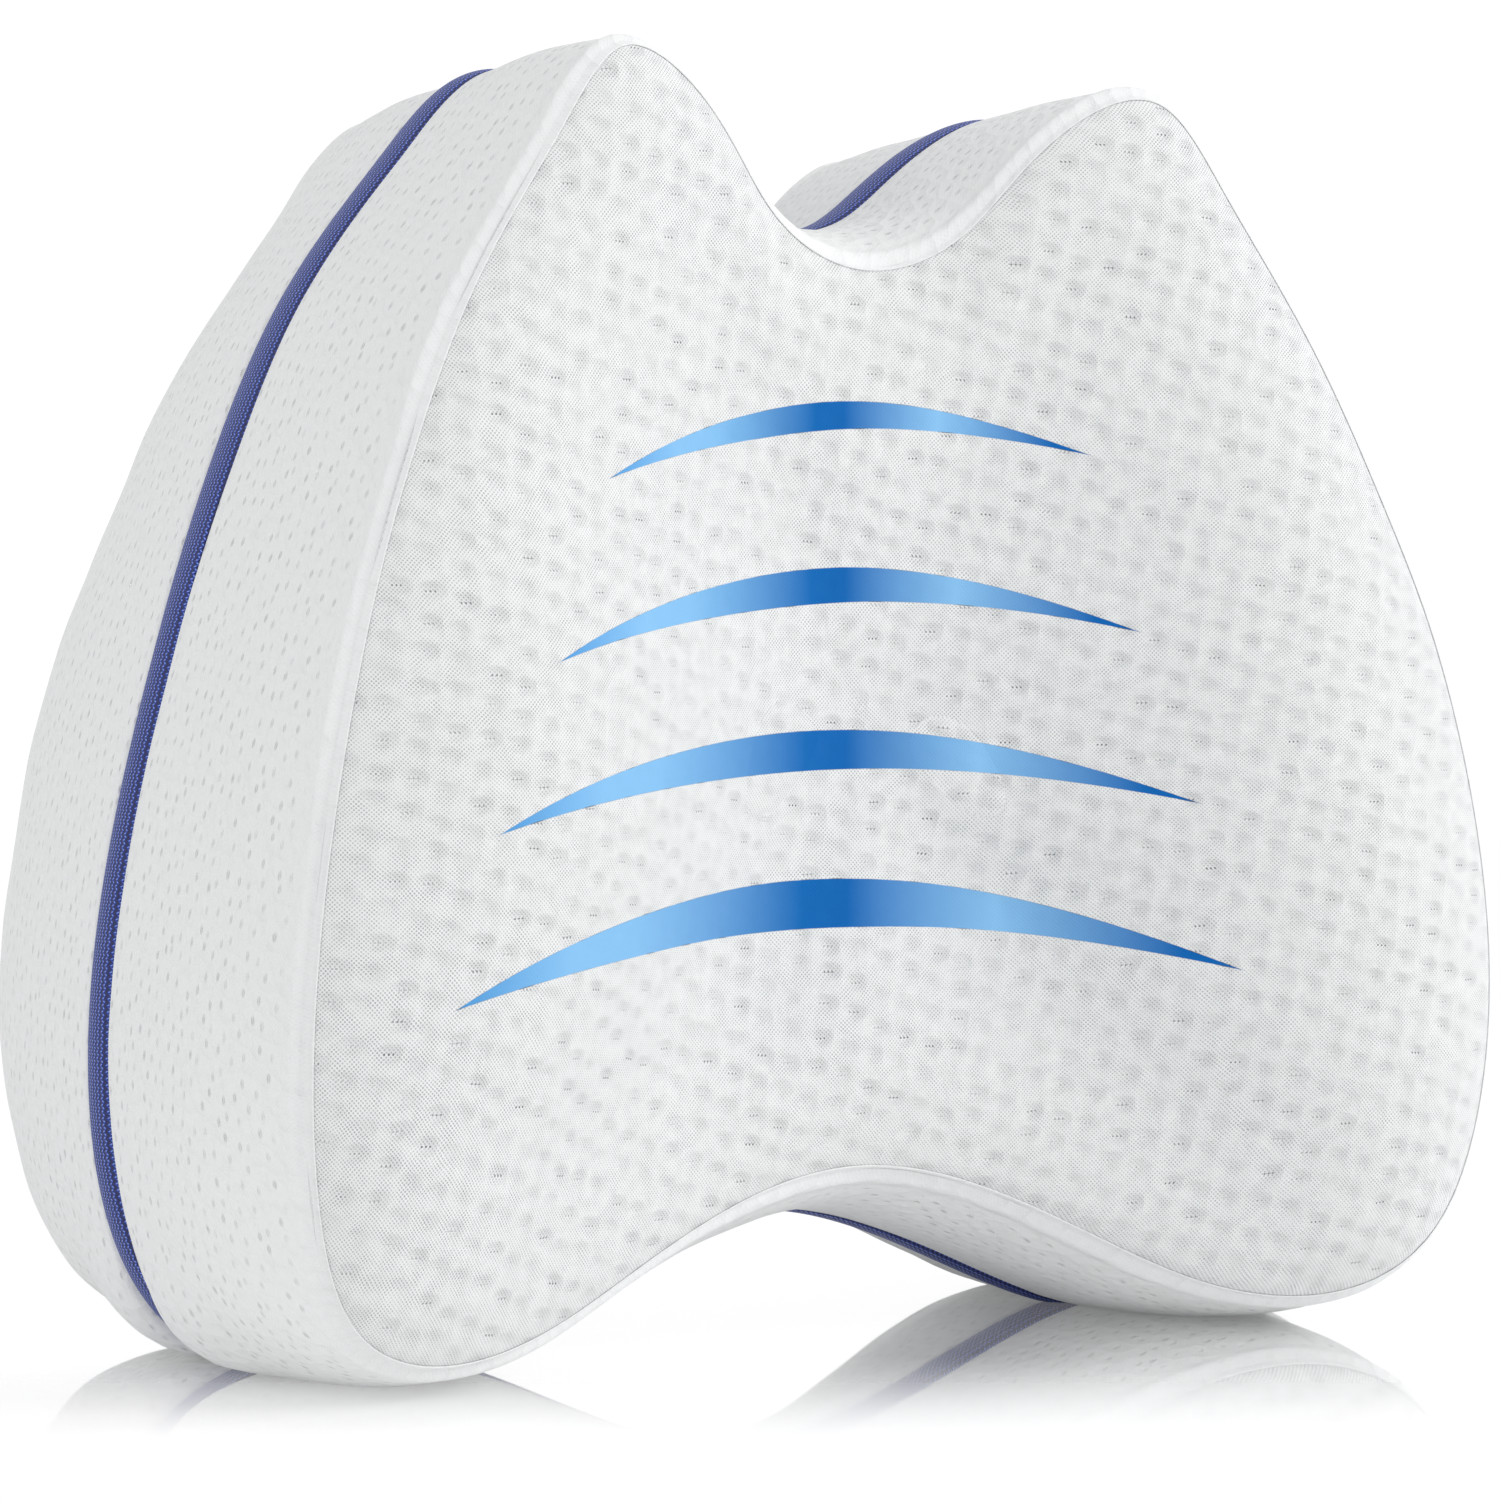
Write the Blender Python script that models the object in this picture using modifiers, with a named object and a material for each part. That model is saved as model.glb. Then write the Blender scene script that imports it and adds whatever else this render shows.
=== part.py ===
"""Contoured knee pillow, standing on its two feet.

One foam-filled cushion carries a knitted panel on each face and a mesh tape round its middle. Seen from
the front it is a butterfly: two humps with a saddle between them, and two feet with an arch between them.
Both faces are dished into an upright cradle for the leg.

+X is the pillow's width, +Y runs from the front face to the back face and +Z is up. The origin is on the
floor, under the middle of the pillow.
"""

import math
from collections import namedtuple

import bmesh
import bpy
import numpy as np

MM = 0.001

# Driving dimensions, in millimetres.
WIDTH = 261.0
HEIGHT = 233.5
FOOT_SQUASH = 1.6  # how far the foam is pressed flat where each foot meets the floor
PANEL_THICKNESS = 2.0
PIECE_GAP = 0.3

# The tape and the groove that it is sewn into.
TAPE_WIDTH = 9.0
TAPE_CROWN = 0.8
TAPE_BED = 1.8
TAPE_EDGE_DROP = 0.2
TAPE_FLOOR_CLEARANCE = 0.3
TAPE_PRESSED = 0.7  # its thickness under the feet

# The seam between the side of the cushion and a face panel.
SEAM_DIP = 1.2
SEAM_DIP_RUN = 4.0
TUCK_POWER = 3.0

# The face panel: a rounded lip inside the seam, and the upright cradle between the lips.
LIP_RUN = 30.0
CRADLE_HALF_WIDTH = 95.0
CRADLE_HALF_DEPTH = 40.0  # from the tape's middle line to the bottom of the cradle
CRADLE_END_RISE = 0.15  # share of a wall's rise that the cradle's bottom also makes towards its ends
FACE_CENTRE_HEIGHT = 115.0

# Control points of the right half of the outline at the tape, from the top of the saddle round to the arch.
# x and z place the point. half_depth is the distance from the tape to the seam, tuck is how far the side
# is drawn in at the seam, and lip is how far the panel stands out beyond the seam.
Station = namedtuple("Station", "x z half_depth tuck lip")
RIGHT_HALF = [
    Station(x=0.0, z=207.0, half_depth=42.0, tuck=11.5, lip=3.0),  # saddle
    Station(x=17.0, z=208.5, half_depth=44.0, tuck=6.0, lip=4.0),
    Station(x=32.0, z=224.5, half_depth=48.5, tuck=2.0, lip=6.0),
    Station(x=58.0, z=239.0, half_depth=53.5, tuck=1.0, lip=8.0),  # hump
    Station(x=74.0, z=217.5, half_depth=56.0, tuck=4.5, lip=8.0),
    Station(x=96.0, z=191.0, half_depth=59.0, tuck=6.5, lip=8.0),  # shoulder
    Station(x=110.0, z=155.5, half_depth=64.0, tuck=5.5, lip=8.0),
    Station(x=119.0, z=128.0, half_depth=69.0, tuck=4.5, lip=8.0),
    Station(x=132.0, z=76.0, half_depth=72.0, tuck=7.0, lip=8.0),  # widest
    Station(x=131.5, z=28.5, half_depth=68.0, tuck=8.5, lip=8.0),
    Station(x=113.5, z=-0.5, half_depth=60.5, tuck=5.5, lip=8.0),  # foot
    Station(x=66.5, z=-4.0, half_depth=49.0, tuck=7.0, lip=7.0),
    Station(x=0.0, z=37.5, half_depth=35.5, tuck=10.5, lip=6.0),  # arch
]
OUTLINE_POINTS = 72
BEND_WEIGHT = 40.0  # millimetres of straight outline that get as many points as one radian of bend

# Where the rings of the mesh lie: shares of the half depth out from the tape, millimetres in from the seam
# across the lip, and shares of what is left of the face from there to its centre.
SIDE_SHARES = (0.35, 0.62, 0.82)
LIP_DISTANCES = (2.0, 6.0, 14.0, 30.0)
FACE_SHARES = (0.82, 0.6, 0.32)

# sRGB colours, roughness and metallic values of the two cloths.
WHITE_KNIT = ((0.91, 0.92, 0.93), 0.85, 0.0)
BLUE_MESH = ((0.17, 0.24, 0.60), 0.55, 0.0)

Outline = namedtuple("Outline", "x z half_depth tuck lip in_x in_z")


def clear_scene():
    for obj in list(bpy.data.objects):
        bpy.data.objects.remove(obj)


def spline_loop(controls, samples=40):
    """Closely spaced points of the closed uniform cubic B-spline of some control rows."""
    t = np.arange(samples) / samples
    weights = np.stack(
        [(1 - t) ** 3, 3 * t**3 - 6 * t**2 + 4, -3 * t**3 + 3 * t**2 + 3 * t + 1, t**3],
        axis=1,
    )
    neighbours = (np.arange(len(controls))[:, None] + np.arange(-1, 3)) % len(controls)
    points = np.einsum("sk,nkd->nsd", weights / 6, controls[neighbours])
    return points.reshape(-1, controls.shape[1])


def spread(loop, count):
    """That many points of a closed loop, closer together where it bends."""
    edges = (np.roll(loop, -1, axis=0) - loop)[:, :2]
    heading = np.arctan2(edges[:, 1], edges[:, 0])
    turn = np.angle(np.exp(1j * (np.roll(heading, -1) - np.roll(heading, 1)))) / 2
    steps = np.hypot(*edges.T) + BEND_WEIGHT * np.abs(turn)
    travelled = np.append(0, np.cumsum(steps))
    wanted = np.arange(count) / count * travelled[-1]
    closed = np.vstack([loop, loop[:1]])
    return np.stack([np.interp(wanted, travelled, column) for column in closed.T])


def make_outline():
    """The loop at the tape, sized to the driving width and height, with its inward direction at each point."""
    right = np.array(RIGHT_HALF)
    left = right[-2:0:-1] * (-1, 1, 1, 1, 1)
    loop = spline_loop(np.vstack([right, left]))
    x, z, half_depth, tuck, lip = spread(loop, OUTLINE_POINTS)
    x = x * WIDTH / (x.max() - x.min())
    z = (z - z.min()) * (HEIGHT + FOOT_SQUASH) / (z.max() - z.min()) - FOOT_SQUASH
    along_x = np.roll(x, -1) - np.roll(x, 1)
    along_z = np.roll(z, -1) - np.roll(z, 1)
    length = np.hypot(along_x, along_z)
    # The loop runs clockwise seen from the front, so its inside is on the right of its direction.
    return Outline(x, z, half_depth, tuck, lip, along_z / length, -along_x / length)


def ring(outline, inset, depth, lowest=0.0):
    """One loop of points: the outline moved in by inset and forward by depth, and kept off the floor."""
    x = outline.x + outline.in_x * inset
    z = np.maximum(outline.z + outline.in_z * inset, lowest)
    return np.stack([x, np.broadcast_to(-depth, x.shape), z], axis=1)


def side_inset(outline, depth):
    """How far the cushion's side is drawn in at some depth from the tape."""
    to_seam = outline.half_depth - depth
    dip = SEAM_DIP * np.clip(1 - to_seam / SEAM_DIP_RUN, 0, 1) ** 2
    return outline.tuck * (depth / outline.half_depth) ** TUCK_POWER + dip


def seam_ring(outline):
    return ring(outline, outline.tuck + SEAM_DIP, outline.half_depth)


def smooth_rise(share):
    """A rise from 0 to 1 that starts and ends level."""
    return np.sin(math.pi / 2 * np.clip(share, 0, 1)) ** 2


def up_cradle(share, seam_x):
    """How far a point has risen from the cradle's centre, 0, towards the crest inside the seam, 1."""
    walls = smooth_rise(share * np.abs(seam_x) / CRADLE_HALF_WIDTH)
    full_walls = smooth_rise(np.abs(seam_x) / CRADLE_HALF_WIDTH)
    ends = CRADLE_END_RISE * smooth_rise(share / 0.8)
    return (walls + ends) / (full_walls + CRADLE_END_RISE)


def face_rings(outline):
    """The outer surface of the front panel, ring by ring from the seam to near its centre."""
    seam = seam_ring(outline)
    centre = np.array([0.0, 0.0, FACE_CENTRE_HEIGHT])
    across = (seam - centre) * (1, 0, 1)
    reach = np.linalg.norm(across, axis=1)
    lip_end = 1 - LIP_RUN / reach
    shares = [1 - distance / reach for distance in LIP_DISTANCES]
    shares += [lip_end * share for share in FACE_SHARES]
    crest = outline.half_depth + outline.lip
    rings = [seam]
    for share in shares:
        from_seam = np.clip((1 - share) * reach / LIP_RUN, 0, 1)
        below_crest = outline.lip * (1 - np.sqrt(1 - (1 - from_seam) ** 2))
        rise = (crest - CRADLE_HALF_DEPTH) * up_cradle(share, seam[:, 0])
        depth = CRADLE_HALF_DEPTH + rise - below_crest
        points = centre + across * share[:, None]
        points[:, 1] = -depth
        rings.append(points)
    return rings


def unit(vectors):
    return vectors / np.linalg.norm(vectors, axis=-1, keepdims=True)


def into_cushion(rings):
    """Unit normals into the cushion at each point of the face rings."""
    grid = np.array(rings + [np.tile(face_centre(), (len(rings[0]), 1))])
    around = np.roll(grid, -1, axis=1) - np.roll(grid, 1, axis=1)
    across = np.gradient(grid, axis=0)
    normals = unit(np.cross(around, across)[:-1])
    return normals * np.sign(normals[:, :, 1:2])


def face_centre(inset=0.0):
    return np.array([0.0, inset - CRADLE_HALF_DEPTH, FACE_CENTRE_HEIGHT])


def loft(name, rings, poles=(None, None), closed=False):
    """A mesh of triangles between each ring and the next, with a fan to a pole at either end."""
    form = bmesh.new()
    loops = [[form.verts.new(point * MM) for point in points] for points in rings]
    count = len(loops[0])
    following = loops[1:] + loops[:1] if closed else loops[1:]
    for first, second in zip(loops, following):
        for i in range(count):
            j = (i + 1) % count
            form.faces.new((first[i], first[j], second[j]))
            form.faces.new((first[i], second[j], second[i]))
    for pole, loop in zip(poles, (loops[0], loops[-1])):
        if pole is None:
            continue
        tip = form.verts.new(pole * MM)
        for i in range(count):
            form.faces.new((loop[i], loop[(i + 1) % count], tip))
    bmesh.ops.recalc_face_normals(form, faces=form.faces)
    mesh = bpy.data.meshes.new(name)
    form.to_mesh(mesh)
    form.free()
    return mesh


def cloth(name, finish):
    """A Principled material of an sRGB colour, a roughness and a metallic value."""
    colour, roughness, metallic = finish
    material = bpy.data.materials.new(name)
    material.use_nodes = True
    shader = material.node_tree.nodes["Principled BSDF"]
    linear = [((c + 0.055) / 1.055) ** 2.4 for c in colour]
    shader.inputs["Base Color"].default_value = (*linear, 1.0)
    shader.inputs["Roughness"].default_value = roughness
    shader.inputs["Metallic"].default_value = metallic
    return material


def place(name, mesh, material, collection):
    """An object of that name and mesh, shaded smooth but for its sewn edges."""
    mesh.materials.append(material)
    mesh.shade_smooth()
    mesh.set_sharp_from_angle(angle=math.radians(50))
    obj = bpy.data.objects.new(name, mesh)
    collection.objects.link(obj)
    return obj


def mirror_to_back(obj):
    """Adds the half behind the tape's middle line, where the mesh is open."""
    mirror = obj.modifiers.new("back half", "MIRROR")
    mirror.use_axis = (False, True, False)
    mirror.use_clip = True
    mirror.merge_threshold = 0.01 * MM


def make_cushion(outline, collection):
    """The filled cushion: dished faces under the panels, a ledge at each seam, and sides with a tape groove."""
    groove_edge = TAPE_WIDTH / 2 + PIECE_GAP
    groove_floor = TAPE_FLOOR_CLEARANCE + TAPE_PRESSED + PIECE_GAP
    rings = [ring(outline, TAPE_BED + PIECE_GAP, depth, groove_floor) for depth in (0.0, groove_edge)]
    side_depths = [groove_edge]
    side_depths += [share * outline.half_depth for share in SIDE_SHARES]
    side_depths += [outline.half_depth - run for run in (SEAM_DIP_RUN, SEAM_DIP_RUN / 3)]
    rings += [ring(outline, side_inset(outline, depth), depth) for depth in side_depths]

    face = face_rings(outline)
    under_panel = PANEL_THICKNESS + PIECE_GAP
    bed = np.array(face) + into_cushion(face) * under_panel
    clear_of_edge = unit(face[0] - face[1]) * PIECE_GAP
    rings += [face[0] + clear_of_edge, bed[0] + clear_of_edge]
    rings += list(bed[1:])
    mesh = loft("cushion", rings, poles=(None, face_centre(under_panel)))
    obj = place("cushion", mesh, cloth("white_knit_side", WHITE_KNIT), collection)
    mirror_to_back(obj)


def make_panel(name, outline, towards_back, collection):
    """A knitted face panel: a dished sheet with a rounded lip, whose edge stands on the cushion's ledge."""
    outer = face_rings(outline)
    inner = list(np.array(outer) + into_cushion(outer) * PANEL_THICKNESS)
    rings = outer[::-1] + inner
    poles = [face_centre(), face_centre(PANEL_THICKNESS)]
    if towards_back:
        rings = [points * (1, -1, 1) for points in rings]
        poles = [pole * (1, -1, 1) for pole in poles]
    mesh = loft(name, rings, poles=poles)
    place(name, mesh, cloth("white_knit_" + name, WHITE_KNIT), collection)


def make_tape(outline, collection):
    """The mesh tape that runs right round the cushion, slightly domed, in its groove."""
    half = TAPE_WIDTH / 2
    outer_lowest = TAPE_FLOOR_CLEARANCE
    bed_lowest = TAPE_FLOOR_CLEARANCE + TAPE_PRESSED
    section = [
        (0.0, TAPE_BED, bed_lowest),
        (half, TAPE_BED, bed_lowest),
        (half, TAPE_EDGE_DROP, outer_lowest),
        (0.7 * half, -0.6 * TAPE_CROWN, outer_lowest),
        (0.0, -TAPE_CROWN, outer_lowest),
        (-0.7 * half, -0.6 * TAPE_CROWN, outer_lowest),
        (-half, TAPE_EDGE_DROP, outer_lowest),
        (-half, TAPE_BED, bed_lowest),
    ]
    rings = [ring(outline, inset, depth, lowest) for depth, inset, lowest in section]
    mesh = loft("middle_tape", rings, closed=True)
    place("middle_tape", mesh, cloth("blue_mesh", BLUE_MESH), collection)


def main():
    clear_scene()
    collection = bpy.data.collections.new("knee_pillow")
    bpy.context.scene.collection.children.link(collection)
    outline = make_outline()
    make_cushion(outline, collection)
    make_panel("front_panel", outline, towards_back=False, collection=collection)
    make_panel("back_panel", outline, towards_back=True, collection=collection)
    make_tape(outline, collection)


main()
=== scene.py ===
"""A contoured knee pillow in its white knitted cover with a blue woven tape, dressed for the camera."""

import math
from collections import namedtuple

import bmesh
import bpy
import numpy as np
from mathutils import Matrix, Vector, noise


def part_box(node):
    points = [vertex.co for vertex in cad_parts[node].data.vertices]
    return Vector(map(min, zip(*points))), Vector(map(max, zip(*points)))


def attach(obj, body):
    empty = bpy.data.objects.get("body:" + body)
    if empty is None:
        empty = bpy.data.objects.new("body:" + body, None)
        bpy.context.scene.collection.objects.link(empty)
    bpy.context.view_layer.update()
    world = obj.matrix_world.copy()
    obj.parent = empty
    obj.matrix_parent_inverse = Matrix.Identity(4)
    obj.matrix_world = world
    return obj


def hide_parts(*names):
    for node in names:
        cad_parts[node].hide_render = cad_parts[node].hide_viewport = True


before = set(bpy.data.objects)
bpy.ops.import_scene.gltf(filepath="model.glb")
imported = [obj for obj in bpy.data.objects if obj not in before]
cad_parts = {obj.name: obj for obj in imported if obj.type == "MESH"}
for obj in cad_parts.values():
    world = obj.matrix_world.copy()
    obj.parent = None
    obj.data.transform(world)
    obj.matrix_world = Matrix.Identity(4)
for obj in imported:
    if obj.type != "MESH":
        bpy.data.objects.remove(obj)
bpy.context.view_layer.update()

MM = 0.001

# Sizes that repeat the solids, in millimetres.
CUSHION_LOW, CUSHION_HIGH = (np.array(corner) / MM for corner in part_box("cushion"))
TAPE_LOW, TAPE_HIGH = (np.array(corner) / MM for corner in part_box("middle_tape"))
WIDTH = CUSHION_HIGH[0] - CUSHION_LOW[0]
HEIGHT = CUSHION_HIGH[2]
FOOT_SQUASH = 1.6
PANEL_THICKNESS = 2.0
PIECE_GAP = 0.3
TAPE_WIDTH = TAPE_HIGH[1] - TAPE_LOW[1]
TAPE_BED = 1.8
TAPE_CROWN = 0.8
TAPE_EDGE_DROP = 0.5
TAPE_FLOOR_CLEARANCE = 0.3
TAPE_PRESSED = 0.7
TAPE_SPREAD = 1.0
TAPE_SPREAD_START = 120.0
TAPE_SPREAD_RUN = 50.0
SEAM_DIP = 1.2
TUCK_POWER = 3.0
LIP_RUN = 30.0
CRADLE_HALF_WIDTH = 95.0
CRADLE_HALF_DEPTH = 40.0
CRADLE_END_RISE = 0.15
FACE_CENTRE_HEIGHT = 115.0

# Control points of the right half of the outline at the tape, from the top of the saddle round to the arch.
Station = namedtuple("Station", "x z half_depth tuck lip")
RIGHT_HALF = [
    Station(x=0.0, z=207.0, half_depth=42.0, tuck=11.5, lip=3.0),  # saddle
    Station(x=17.0, z=208.5, half_depth=44.0, tuck=6.0, lip=4.0),
    Station(x=32.0, z=224.5, half_depth=48.5, tuck=2.0, lip=6.0),
    Station(x=58.0, z=239.0, half_depth=53.5, tuck=1.0, lip=8.0),  # hump
    Station(x=74.0, z=217.5, half_depth=56.0, tuck=4.5, lip=8.0),
    Station(x=96.0, z=191.0, half_depth=59.0, tuck=6.5, lip=8.0),  # shoulder
    Station(x=110.0, z=155.5, half_depth=64.0, tuck=5.5, lip=8.0),
    Station(x=119.0, z=128.0, half_depth=69.0, tuck=4.5, lip=8.0),
    Station(x=132.0, z=76.0, half_depth=72.0, tuck=7.0, lip=8.0),  # widest
    Station(x=131.5, z=28.5, half_depth=68.0, tuck=8.5, lip=8.0),
    Station(x=113.5, z=-0.5, half_depth=60.5, tuck=5.5, lip=8.0),  # foot
    Station(x=66.5, z=-4.0, half_depth=49.0, tuck=7.0, lip=7.0),
    Station(x=0.0, z=37.5, half_depth=35.5, tuck=10.5, lip=6.0),  # arch
]
AROUND = 560
BEND_WEIGHT = 30.0
Outline = namedtuple("Outline", "x z half_depth tuck lip in_x in_z along")

# The side bands swell over the tape at the outer corners of the feet, where the filling is pressed out.
FOOT_SWELL = 3.4
FOOT_SWELL_HEIGHT = 9.0
FOOT_SWELL_SPREAD = 13.0
FOOT_SWELL_ACROSS = 24.0
FOOT_CORNER_START = 96.0
FOOT_CORNER_RUN = 20.0

# The rolled edge where a side band is sewn to a face panel.
ROLL_WIDTH = 3.8
ROLL_HEIGHT = 0.42
ROLL_CREASE = 0.12
ROLL_DIP_START = 0.45
SEAM_OVERLAP = 0.8
SEAM_CLEARANCE = 0.12

# The printed crescents on the front panel lie square to a direction turned from the front. Each has its two
# tips, and how far its edges arch above the line between them. The arches lean to the left.
PRINT_TURN = 30.07
TOP_LEAN = 0.24
BOTTOM_LEAN = 0.17
Crescent = namedtuple("Crescent", "left_x left_z right_x right_z top bottom")
CRESCENTS = [
    Crescent(left_x=-23.0, left_z=154.8, right_x=63.3, right_z=163.9, top=12.8, bottom=7.9),
    Crescent(left_x=-30.6, left_z=123.2, right_x=72.4, right_z=131.3, top=15.3, bottom=9.1),
    Crescent(left_x=-39.7, left_z=95.0, right_x=83.1, right_z=99.8, top=15.7, bottom=8.7),
    Crescent(left_x=-46.5, left_z=66.9, right_x=91.3, right_z=69.1, top=18.1, bottom=9.5),
]

# The camera stands level, to the left of the front face.
CAMERA_TURN = 30.07
CAMERA_DISTANCE = 742.0
CAMERA_HEIGHT = 102.3
CAMERA_FOCAL = 93.5
CAMERA_SHIFT = (0.0023, 0.0264)
AMBIENT = 0.69
KEY_POWER = 7.2
RIGHT_POWER = 4.0
SIDE_POWER = 2.9
TOP_POWER = 1.9


# The form of the pillow

def spline_loop(controls, samples=60):
    """Closely spaced points of the closed uniform cubic B-spline of some control rows."""
    t = np.arange(samples) / samples
    weights = np.stack(
        [(1 - t) ** 3, 3 * t**3 - 6 * t**2 + 4, -3 * t**3 + 3 * t**2 + 3 * t + 1, t**3],
        axis=1,
    )
    neighbours = (np.arange(len(controls))[:, None] + np.arange(-1, 3)) % len(controls)
    points = np.einsum("sk,nkd->nsd", weights / 6, controls[neighbours])
    return points.reshape(-1, controls.shape[1])


def spread(loop, count):
    """That many points of a closed loop, closer together where it bends."""
    edges = (np.roll(loop, -1, axis=0) - loop)[:, :2]
    heading = np.arctan2(edges[:, 1], edges[:, 0])
    turn = np.angle(np.exp(1j * (np.roll(heading, -1) - np.roll(heading, 1)))) / 2
    steps = np.hypot(*edges.T) + BEND_WEIGHT * np.abs(turn)
    travelled = np.append(0, np.cumsum(steps))
    wanted = np.arange(count) / count * travelled[-1]
    closed = np.vstack([loop, loop[:1]])
    return np.stack([np.interp(wanted, travelled, column) for column in closed.T])


def make_outline(count):
    """The loop at the tape, with its inward direction and the length travelled to each point."""
    right = np.array(RIGHT_HALF)
    left = right[-2:0:-1] * (-1, 1, 1, 1, 1)
    x, z, half_depth, tuck, lip = spread(spline_loop(np.vstack([right, left])), count)
    x = x * WIDTH / (x.max() - x.min())
    z = (z - z.min()) * (HEIGHT + FOOT_SQUASH) / (z.max() - z.min()) - FOOT_SQUASH
    along_x = np.roll(x, -1) - np.roll(x, 1)
    along_z = np.roll(z, -1) - np.roll(z, 1)
    length = np.hypot(along_x, along_z)
    steps = np.hypot(np.diff(x), np.diff(z))
    along = np.append(0, np.cumsum(steps))
    return Outline(x, z, half_depth, tuck, lip, along_z / length, -along_x / length, along)


def ring(outline, inset, depth, lowest=0.0):
    """One loop of points: the outline moved in by inset and forward by depth, and kept off the floor."""
    x = outline.x + outline.in_x * inset
    z = np.maximum(outline.z + outline.in_z * inset, lowest)
    return np.stack([x, np.broadcast_to(-depth, x.shape), z], axis=1)


def side_inset(outline, depth):
    """How far the side is drawn in at some depth from the tape, with the rolled edge before the seam."""
    to_seam = outline.half_depth - depth
    bulge = outline.tuck * (depth / outline.half_depth) ** TUCK_POWER
    across_roll = np.clip(1 - to_seam / ROLL_WIDTH, 0, 1)
    roll = ROLL_HEIGHT * np.sin(math.pi * across_roll) ** 1.3
    crease = ROLL_CREASE * np.exp(-(((to_seam - ROLL_WIDTH - 0.6) / 1.2) ** 2))
    dip = SEAM_DIP * np.clip((across_roll - ROLL_DIP_START) / (1 - ROLL_DIP_START), 0, 1) ** 2
    from_tape = np.clip((depth - TAPE_WIDTH / 2 - PIECE_GAP) / FOOT_SWELL_ACROSS, 0, 1)
    near_corner = smooth_rise((np.abs(outline.x) - FOOT_CORNER_START) / FOOT_CORNER_RUN)
    near_floor = np.exp(-(((outline.z - FOOT_SWELL_HEIGHT) / FOOT_SWELL_SPREAD) ** 2))
    swell = FOOT_SWELL * near_corner * near_floor * np.sin(math.pi * from_tape**0.6)
    return bulge + crease - roll + dip - swell


def smooth_rise(share):
    """A rise from 0 to 1 that starts and ends level."""
    return np.sin(math.pi / 2 * np.clip(share, 0, 1)) ** 2


def up_cradle(share, seam_x):
    """How far a point has risen from the cradle's centre, 0, towards the crest inside the seam, 1."""
    walls = smooth_rise(share * np.abs(seam_x) / CRADLE_HALF_WIDTH)
    full_walls = smooth_rise(np.abs(seam_x) / CRADLE_HALF_WIDTH)
    ends = CRADLE_END_RISE * smooth_rise(share / 0.8)
    return (walls + ends) / (full_walls + CRADLE_END_RISE)


def face_rings(outline, distances, shares_left):
    """The outer surface of the front panel, ring by ring from the seam to near its centre."""
    seam = ring(outline, outline.tuck + SEAM_DIP, outline.half_depth)
    centre = np.array([0.0, 0.0, FACE_CENTRE_HEIGHT])
    across = (seam - centre) * (1, 0, 1)
    reach = np.linalg.norm(across, axis=1)
    lip_end = 1 - LIP_RUN / reach
    shares = [1 - distance / reach for distance in distances]
    shares += [lip_end * share for share in shares_left]
    crest = outline.half_depth + outline.lip
    rings = [seam]
    for share in shares:
        from_seam = np.clip((1 - share) * reach / LIP_RUN, 0, 1)
        below_crest = outline.lip * (1 - np.sqrt(1 - (1 - from_seam) ** 2))
        rise = (crest - CRADLE_HALF_DEPTH) * up_cradle(share, seam[:, 0])
        depth = CRADLE_HALF_DEPTH + rise - below_crest
        points = centre + across * share[:, None]
        points[:, 1] = -depth
        rings.append(points)
    return rings


def half_tape(outline):
    """Half the tape's width: it is pulled flatter and wider over the shoulders and humps."""
    return TAPE_WIDTH / 2 + TAPE_SPREAD * smooth_rise((outline.z - TAPE_SPREAD_START) / TAPE_SPREAD_RUN)


def unit(vectors):
    """The vectors at length one."""
    return vectors / np.linalg.norm(vectors, axis=-1, keepdims=True)


def face_centre(inset=0.0):
    """The bottom of the front face's dish, or a point that far under it."""
    return np.array([0.0, inset - CRADLE_HALF_DEPTH, FACE_CENTRE_HEIGHT])


def into_cushion(rings):
    """Unit normals into the cushion at each point of the face rings."""
    grid = np.array(rings + [np.tile(face_centre(), (len(rings[0]), 1))])
    around = np.roll(grid, -1, axis=1) - np.roll(grid, 1, axis=1)
    across = np.gradient(grid, axis=0)
    normals = unit(np.cross(around, across)[:-1])
    return normals * np.sign(normals[:, :, 1:2])


def unevenness(point, size, seed):
    """Smooth noise from -1 to 1 at a point in millimetres, with hollows about that size."""
    return noise.noise(Vector(point) / size + Vector((seed, 2 * seed, -seed)))


# Meshes

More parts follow.
